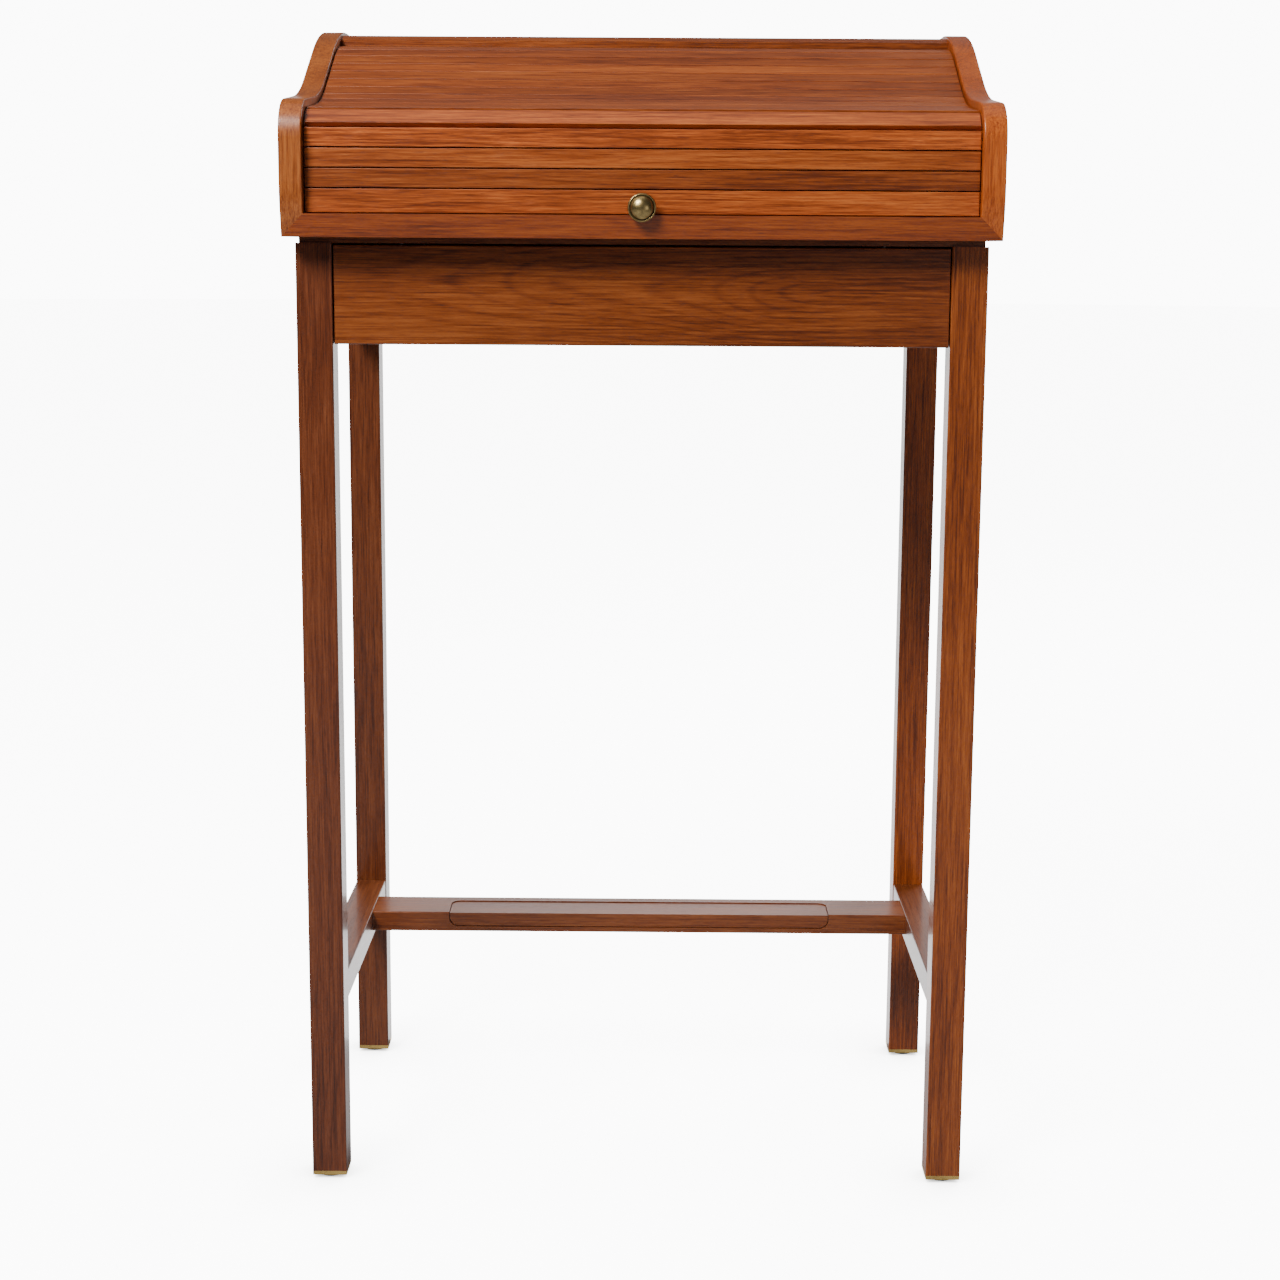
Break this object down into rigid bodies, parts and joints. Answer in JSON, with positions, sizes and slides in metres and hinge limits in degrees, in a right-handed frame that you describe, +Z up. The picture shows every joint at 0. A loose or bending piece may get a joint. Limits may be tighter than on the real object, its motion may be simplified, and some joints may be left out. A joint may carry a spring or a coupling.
{
  "type": "tambour desk",
  "caption": "Stand-up wooden desk with a roll top of slats over a low case, a full-width drawer and a foot rail between square legs.",
  "frame": {"origin": "on the floor, at the centre of the desk's bounding box", "axes": "+X to the right of a person who stands at the front, +Y from front to back, +Z up"},
  "size_m": [0.743, 0.48, 1.276],
  "materials": {
    "case_wood": "satin",
    "slat_wood": "satin",
    "frame_wood": "satin",
    "pad_wood": "satin",
    "drawer_wood": "matte",
    "plate_brass": "polished",
    "knob_brass": "antique",
    "glide_black": "matte",
    "screw_steel": "brushed"
  },
  "bodies": {
    "desk": {"side_apron_left": "frame_wood", "side_stretcher_left": "frame_wood", "side_apron_right": "frame_wood", "side_stretcher_right": "frame_wood", "rear_apron": "frame_wood", "leg_front_left": "frame_wood", "foot_plate_front_left": "plate_brass", "glide_front_left": "glide_black", "leg_rear_left": "frame_wood", "foot_plate_rear_left": "plate_brass", "glide_rear_left": "glide_black", "leg_front_right": "frame_wood", "foot_plate_front_right": "plate_brass", "glide_front_right": "glide_black", "leg_rear_right": "frame_wood", "foot_plate_rear_right": "plate_brass", "glide_rear_right": "glide_black", "footrest": "frame_wood", "foot_pad": "pad_wood", "sub_top": "frame_wood", "case_screws": "screw_steel", "side_panel_left": "case_wood", "side_panel_right": "case_wood", "bed": "case_wood", "back_panel": "case_wood", "roof_board": "case_wood", "drawer_runner_left": "drawer_wood", "drawer_runner_right": "drawer_wood"},
    "drawer": {"drawer_front": "case_wood", "drawer_side_left": "drawer_wood", "drawer_side_right": "drawer_wood", "drawer_back": "drawer_wood", "drawer_bottom": "drawer_wood"},
    "roll_lead": {"lead_slat": "slat_wood", "slat_01": "slat_wood", "slat_02": "slat_wood", "knob": "knob_brass", "knob_screw": "screw_steel"},
    "roll_03": {"slat_03": "slat_wood"},
    "roll_04": {"slat_04": "slat_wood"},
    "roll_05": {"slat_05": "slat_wood"},
    "roll_06": {"slat_06": "slat_wood", "slat_07": "slat_wood"},
    "roll_08": {"slat_08": "slat_wood"},
    "roll_09": {"slat_09": "slat_wood"},
    "roll_10": {"slat_10": "slat_wood"},
    "roll_11": {"slat_11": "slat_wood"},
    "roll_12": {"slat_12": "slat_wood"},
    "roll_13": {"slat_13": "slat_wood"},
    "roll_14": {"slat_14": "slat_wood", "slat_15": "slat_wood"},
    "roll_16": {"slat_16": "slat_wood"},
    "roll_17": {"slat_17": "slat_wood"},
    "roll_18": {"slat_18": "slat_wood"},
    "roll_19": {"slat_19": "slat_wood"}
  },
  "joints": [
    {"name": "drawer_slide", "type": "slide", "parent": "desk", "child": "drawer", "axis": [0, -1, 0], "range_m": [0, 0.3]},
    {"name": "roll_slide", "type": "slide", "parent": "desk", "child": "roll_05", "axis": [0, 0.9486, 0.3164], "range_m": [0, 0.25843]},
    {"name": "bend_04", "type": "hinge", "parent": "roll_05", "child": "roll_04", "pos_m": [0, -0.19759, 1.1662], "axis": [1, 0, 0], "range_deg": [-29.66, 0]},
    {"name": "bend_03", "type": "hinge", "parent": "roll_04", "child": "roll_03", "pos_m": [0, -0.21177, 1.1514], "axis": [1, 0, 0], "range_deg": [-33.63, 0]},
    {"name": "bend_lead", "type": "hinge", "parent": "roll_03", "child": "roll_lead", "pos_m": [0, -0.212, 1.1309], "axis": [1, 0, 0], "range_deg": [0, 1.29]},
    {"name": "bend_06", "type": "hinge", "parent": "roll_05", "child": "roll_06", "pos_m": [0, -0.17721, 1.16842], "axis": [1, 0, 0], "range_deg": [-5.95, 0]},
    {"name": "bend_08", "type": "hinge", "parent": "roll_06", "child": "roll_08", "pos_m": [0, -0.13643, 1.17272], "axis": [1, 0, 0], "range_deg": [-3.25, 0]},
    {"name": "bend_09", "type": "hinge", "parent": "roll_08", "child": "roll_09", "pos_m": [0, -0.1162, 1.17603], "axis": [1, 0, 0], "range_deg": [-5.32, 0]},
    {"name": "bend_10", "type": "hinge", "parent": "roll_09", "child": "roll_10", "pos_m": [0, -0.09636, 1.1812], "axis": [1, 0, 0], "range_deg": [-5.32, 0]},
    {"name": "bend_11", "type": "hinge", "parent": "roll_10", "child": "roll_11", "pos_m": [0, -0.07709, 1.18818], "axis": [1, 0, 0], "range_deg": [-5.32, 0]},
    {"name": "bend_12", "type": "hinge", "parent": "roll_11", "child": "roll_12", "pos_m": [0, -0.05855, 1.19692], "axis": [1, 0, 0], "range_deg": [-22.23, 0]},
    {"name": "bend_13", "type": "hinge", "parent": "roll_12", "child": "roll_13", "pos_m": [0, -0.04045, 1.20655], "axis": [1, 0, 0], "range_deg": [-49.89, 0]},
    {"name": "bend_14", "type": "hinge", "parent": "roll_13", "child": "roll_14", "pos_m": [0, -0.02235, 1.21617], "axis": [1, 0, 0], "range_deg": [-20.65, 0]},
    {"name": "bend_16", "type": "hinge", "parent": "roll_14", "child": "roll_16", "pos_m": [0, 0.01385, 1.23542], "axis": [1, 0, 0], "range_deg": [0, 3.73]},
    {"name": "bend_17", "type": "hinge", "parent": "roll_16", "child": "roll_17", "pos_m": [0, 0.03254, 1.24384], "axis": [1, 0, 0], "range_deg": [0, 10.2]},
    {"name": "bend_18", "type": "hinge", "parent": "roll_17", "child": "roll_18", "pos_m": [0, 0.05243, 1.24883], "axis": [1, 0, 0], "range_deg": [0, 10.22]},
    {"name": "bend_19", "type": "hinge", "parent": "roll_18", "child": "roll_19", "pos_m": [0, 0.07288, 1.2502], "axis": [1, 0, 0], "range_deg": [0, 3.85]}
  ],
  "couplings": [
    {"joint": "bend_04", "follows": "roll_slide", "rad_per_m": -2.0028},
    {"joint": "bend_03", "follows": "roll_slide", "rad_per_m": -2.2716},
    {"joint": "bend_lead", "follows": "roll_slide", "rad_per_m": 0.08708},
    {"joint": "bend_06", "follows": "roll_slide", "rad_per_m": -0.40145},
    {"joint": "bend_08", "follows": "roll_slide", "rad_per_m": -0.21951},
    {"joint": "bend_09", "follows": "roll_slide", "rad_per_m": -0.35907},
    {"joint": "bend_10", "follows": "roll_slide", "rad_per_m": -0.35907},
    {"joint": "bend_11", "follows": "roll_slide", "rad_per_m": -0.35907},
    {"joint": "bend_12", "follows": "roll_slide", "rad_per_m": -1.5015},
    {"joint": "bend_13", "follows": "roll_slide", "rad_per_m": -3.3691},
    {"joint": "bend_14", "follows": "roll_slide", "rad_per_m": -1.3944},
    {"joint": "bend_16", "follows": "roll_slide", "rad_per_m": 0.25215},
    {"joint": "bend_17", "follows": "roll_slide", "rad_per_m": 0.68899},
    {"joint": "bend_18", "follows": "roll_slide", "rad_per_m": 0.69025},
    {"joint": "bend_19", "follows": "roll_slide", "rad_per_m": 0.25965}
  ]
}
